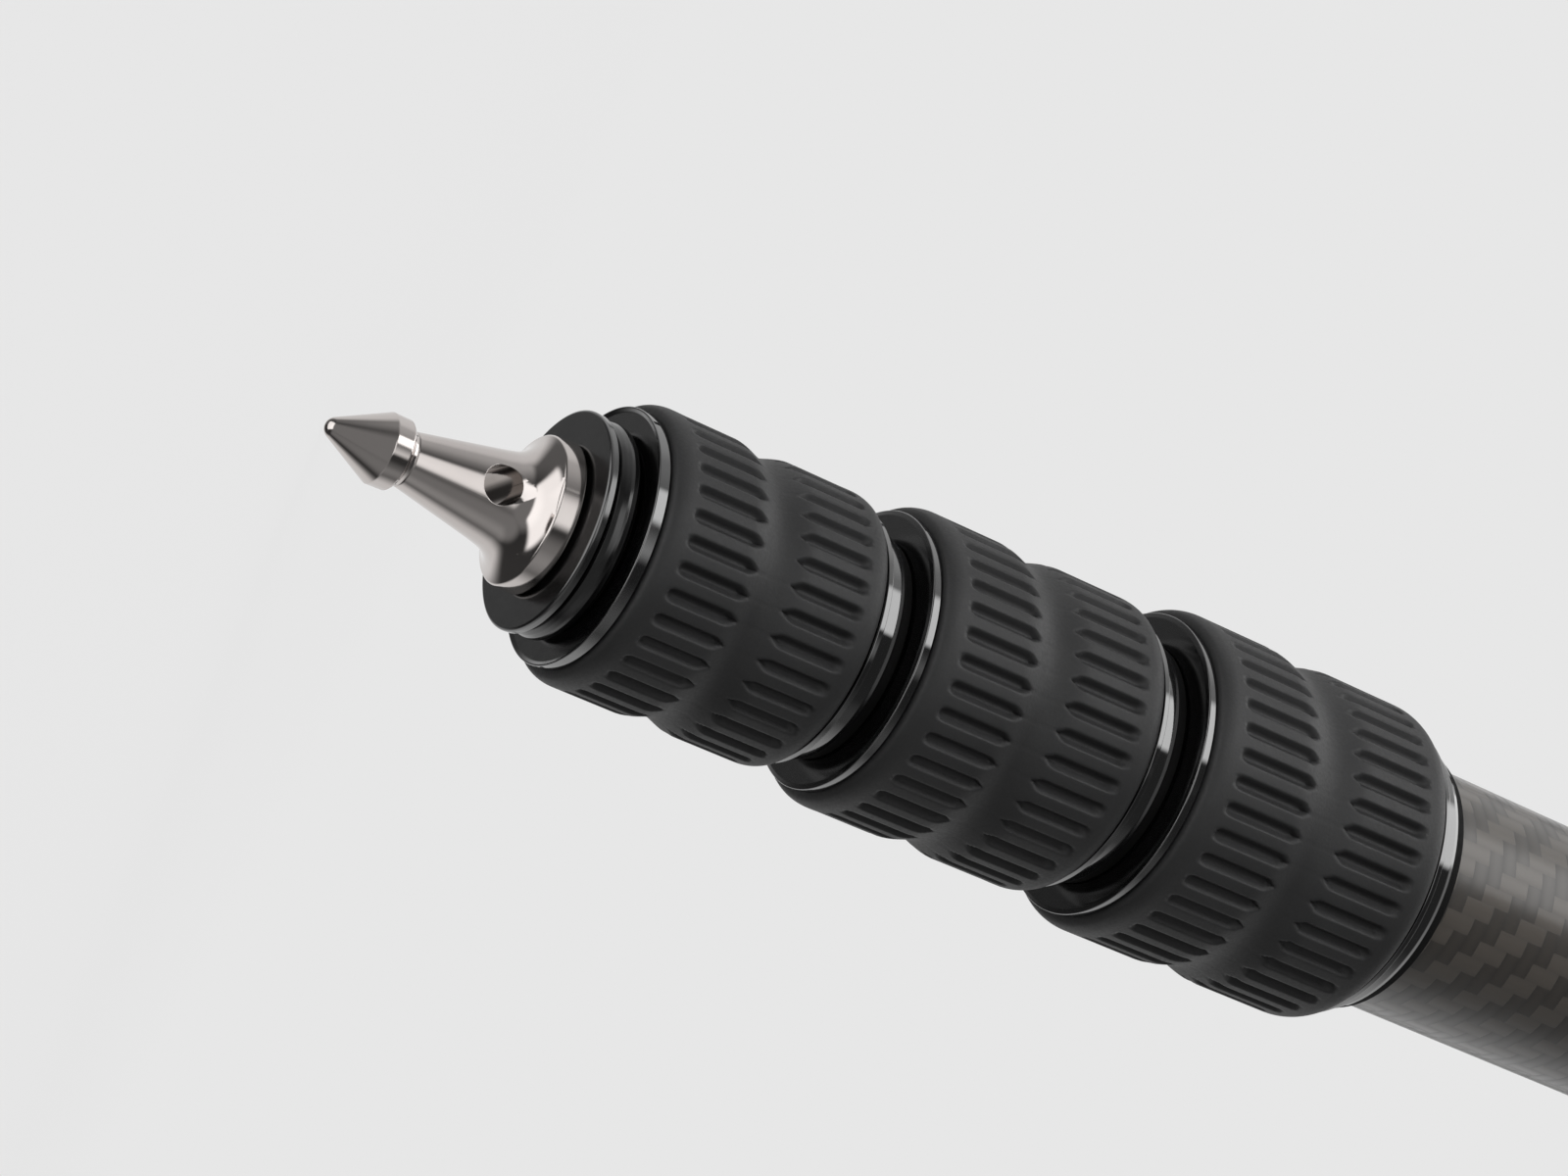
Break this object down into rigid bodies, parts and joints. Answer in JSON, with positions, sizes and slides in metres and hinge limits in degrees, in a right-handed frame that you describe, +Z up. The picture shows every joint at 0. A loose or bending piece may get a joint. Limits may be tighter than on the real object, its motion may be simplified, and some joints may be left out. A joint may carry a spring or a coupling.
{
  "type": "camera tripod",
  "caption": "Folding camera tripod on steel spikes, with telescopic carbon legs, ribbed rubber twist locks, a hinged apex and a flat top plate with a screw stud.",
  "frame": {"origin": "centre of the top plate's upper face, at the foot of the camera stud", "axes": "+Z up along the camera stud; the first leg points along -Y, the others follow at equal turns about Z; the tripod stands on its spikes with the legs at the first stop and collapsed"},
  "size_m": [0.5098, 0.4481, 0.5495],
  "materials": {
    "black_casting": "fine satin black",
    "black_anodised": "glossy black anodised",
    "dark_steel": "dark satin",
    "polished_steel": "turned and polished",
    "carbon_tube": "satin woven carbon",
    "rubber_grip": "matte",
    "level_lens": "clear tinted"
  },
  "bodies": {
    "apex": {"apex_crown": "black_casting", "apex_hub": "black_casting", "top_plate": "black_anodised", "plate_screws": "dark_steel", "camera_stud": "polished_steel", "hinge_pins": "dark_steel", "level_vial": "level_lens", "hub_cap": "black_anodised"},
    "hook": {"weight_hook": "polished_steel"},
    "leg_1": {"leg_1_shoulder": "black_casting", "leg_1_tube_1": "carbon_tube", "leg_1_ferrule_1": "black_anodised"},
    "leg_1_stop": {"leg_1_stop_tab": "dark_steel"},
    "leg_1_lock_1": {"leg_1_lock_nut_1": "black_anodised", "leg_1_lock_grip_1": "rubber_grip"},
    "leg_1_lock_2": {"leg_1_lock_nut_2": "black_anodised", "leg_1_lock_grip_2": "rubber_grip"},
    "leg_1_lock_3": {"leg_1_lock_nut_3": "black_anodised", "leg_1_lock_grip_3": "rubber_grip"},
    "leg_1_section_2": {"leg_1_tube_2": "carbon_tube", "leg_1_ferrule_2": "black_anodised"},
    "leg_1_section_3": {"leg_1_tube_3": "carbon_tube", "leg_1_ferrule_3": "black_anodised"},
    "leg_1_section_4": {"leg_1_tube_4": "carbon_tube", "leg_1_foot_collar": "black_anodised", "leg_1_spike": "polished_steel"},
    "leg_2": {"leg_2_shoulder": "black_casting", "leg_2_tube_1": "carbon_tube", "leg_2_ferrule_1": "black_anodised"},
    "leg_2_stop": {"leg_2_stop_tab": "dark_steel"},
    "leg_2_lock_1": {"leg_2_lock_nut_1": "black_anodised", "leg_2_lock_grip_1": "rubber_grip"},
    "leg_2_lock_2": {"leg_2_lock_nut_2": "black_anodised", "leg_2_lock_grip_2": "rubber_grip"},
    "leg_2_lock_3": {"leg_2_lock_nut_3": "black_anodised", "leg_2_lock_grip_3": "rubber_grip"},
    "leg_2_section_2": {"leg_2_tube_2": "carbon_tube", "leg_2_ferrule_2": "black_anodised"},
    "leg_2_section_3": {"leg_2_tube_3": "carbon_tube", "leg_2_ferrule_3": "black_anodised"},
    "leg_2_section_4": {"leg_2_tube_4": "carbon_tube", "leg_2_foot_collar": "black_anodised", "leg_2_spike": "polished_steel"},
    "leg_3": {"leg_3_shoulder": "black_casting", "leg_3_tube_1": "carbon_tube", "leg_3_ferrule_1": "black_anodised"},
    "leg_3_stop": {"leg_3_stop_tab": "dark_steel"},
    "leg_3_lock_1": {"leg_3_lock_nut_1": "black_anodised", "leg_3_lock_grip_1": "rubber_grip"},
    "leg_3_lock_2": {"leg_3_lock_nut_2": "black_anodised", "leg_3_lock_grip_2": "rubber_grip"},
    "leg_3_lock_3": {"leg_3_lock_nut_3": "black_anodised", "leg_3_lock_grip_3": "rubber_grip"},
    "leg_3_section_2": {"leg_3_tube_2": "carbon_tube", "leg_3_ferrule_2": "black_anodised"},
    "leg_3_section_3": {"leg_3_tube_3": "carbon_tube", "leg_3_ferrule_3": "black_anodised"},
    "leg_3_section_4": {"leg_3_tube_4": "carbon_tube", "leg_3_foot_collar": "black_anodised", "leg_3_spike": "polished_steel"}
  },
  "joints": [
    {"name": "hook_swivel", "type": "hinge", "parent": "apex", "child": "hook", "pos_m": [0, 0, -0.07], "axis": [0, 0, 1], "continuous": true},
    {"name": "leg_1_spread", "type": "hinge", "parent": "apex", "child": "leg_1", "pos_m": [0, -0.046, -0.034], "axis": [-1, 0, 0], "range_deg": [-26, 54]},
    {"name": "leg_1_stop_slide", "type": "slide", "parent": "leg_1", "child": "leg_1_stop", "axis": [0, -0.4384, -0.8988], "range_m": [-0.003, 0.0062]},
    {"name": "leg_1_twist_1", "type": "hinge", "parent": "leg_1", "child": "leg_1_lock_1", "pos_m": [0, -0.29149, -0.53732], "axis": [0, -0.4384, -0.8988], "range_deg": [0, 90]},
    {"name": "leg_1_extend_1", "type": "slide", "parent": "leg_1", "child": "leg_1_section_2", "axis": [0, -0.4384, -0.8988], "range_m": [0, 0.34]},
    {"name": "leg_1_twist_2", "type": "hinge", "parent": "leg_1_section_2", "child": "leg_1_lock_2", "pos_m": [0, -0.29149, -0.53732], "axis": [0, -0.4384, -0.8988], "range_deg": [0, 90]},
    {"name": "leg_1_extend_2", "type": "slide", "parent": "leg_1_section_2", "child": "leg_1_section_3", "axis": [0, -0.4384, -0.8988], "range_m": [0, 0.34]},
    {"name": "leg_1_twist_3", "type": "hinge", "parent": "leg_1_section_3", "child": "leg_1_lock_3", "pos_m": [0, -0.29149, -0.53732], "axis": [0, -0.4384, -0.8988], "range_deg": [0, 90]},
    {"name": "leg_1_extend_3", "type": "slide", "parent": "leg_1_section_3", "child": "leg_1_section_4", "axis": [0, -0.4384, -0.8988], "range_m": [0, 0.34]},
    {"name": "leg_2_spread", "type": "hinge", "parent": "apex", "child": "leg_2", "pos_m": [0.03984, 0.023, -0.034], "axis": [0.5, -0.866, 0], "range_deg": [-26, 54]},
    {"name": "leg_2_stop_slide", "type": "slide", "parent": "leg_2", "child": "leg_2_stop", "axis": [0.3796, 0.2192, -0.8988], "range_m": [-0.003, 0.0062]},
    {"name": "leg_2_twist_1", "type": "hinge", "parent": "leg_2", "child": "leg_2_lock_1", "pos_m": [0.25244, 0.14574, -0.53732], "axis": [0.3796, 0.2192, -0.8988], "range_deg": [0, 90]},
    {"name": "leg_2_extend_1", "type": "slide", "parent": "leg_2", "child": "leg_2_section_2", "axis": [0.3796, 0.2192, -0.8988], "range_m": [0, 0.34]},
    {"name": "leg_2_twist_2", "type": "hinge", "parent": "leg_2_section_2", "child": "leg_2_lock_2", "pos_m": [0.25244, 0.14574, -0.53732], "axis": [0.3796, 0.2192, -0.8988], "range_deg": [0, 90]},
    {"name": "leg_2_extend_2", "type": "slide", "parent": "leg_2_section_2", "child": "leg_2_section_3", "axis": [0.3796, 0.2192, -0.8988], "range_m": [0, 0.34]},
    {"name": "leg_2_twist_3", "type": "hinge", "parent": "leg_2_section_3", "child": "leg_2_lock_3", "pos_m": [0.25244, 0.14574, -0.53732], "axis": [0.3796, 0.2192, -0.8988], "range_deg": [0, 90]},
    {"name": "leg_2_extend_3", "type": "slide", "parent": "leg_2_section_3", "child": "leg_2_section_4", "axis": [0.3796, 0.2192, -0.8988], "range_m": [0, 0.34]},
    {"name": "leg_3_spread", "type": "hinge", "parent": "apex", "child": "leg_3", "pos_m": [-0.03984, 0.023, -0.034], "axis": [0.5, 0.866, 0], "range_deg": [-26, 54]},
    {"name": "leg_3_stop_slide", "type": "slide", "parent": "leg_3", "child": "leg_3_stop", "axis": [-0.3796, 0.2192, -0.8988], "range_m": [-0.003, 0.0062]},
    {"name": "leg_3_twist_1", "type": "hinge", "parent": "leg_3", "child": "leg_3_lock_1", "pos_m": [-0.25244, 0.14574, -0.53732], "axis": [-0.3796, 0.2192, -0.8988], "range_deg": [0, 90]},
    {"name": "leg_3_extend_1", "type": "slide", "parent": "leg_3", "child": "leg_3_section_2", "axis": [-0.3796, 0.2192, -0.8988], "range_m": [0, 0.34]},
    {"name": "leg_3_twist_2", "type": "hinge", "parent": "leg_3_section_2", "child": "leg_3_lock_2", "pos_m": [-0.25244, 0.14574, -0.53732], "axis": [-0.3796, 0.2192, -0.8988], "range_deg": [0, 90]},
    {"name": "leg_3_extend_2", "type": "slide", "parent": "leg_3_section_2", "child": "leg_3_section_3", "axis": [-0.3796, 0.2192, -0.8988], "range_m": [0, 0.34]},
    {"name": "leg_3_twist_3", "type": "hinge", "parent": "leg_3_section_3", "child": "leg_3_lock_3", "pos_m": [-0.25244, 0.14574, -0.53732], "axis": [-0.3796, 0.2192, -0.8988], "range_deg": [0, 90]},
    {"name": "leg_3_extend_3", "type": "slide", "parent": "leg_3_section_3", "child": "leg_3_section_4", "axis": [-0.3796, 0.2192, -0.8988], "range_m": [0, 0.34]}
  ],
  "couplings": [
    {"joint": "leg_1_stop_slide", "follows": "leg_1_spread", "m_per_rad": 0.0063025},
    {"joint": "leg_2_stop_slide", "follows": "leg_2_spread", "m_per_rad": 0.0063025},
    {"joint": "leg_3_stop_slide", "follows": "leg_3_spread", "m_per_rad": 0.0063025}
  ]
}
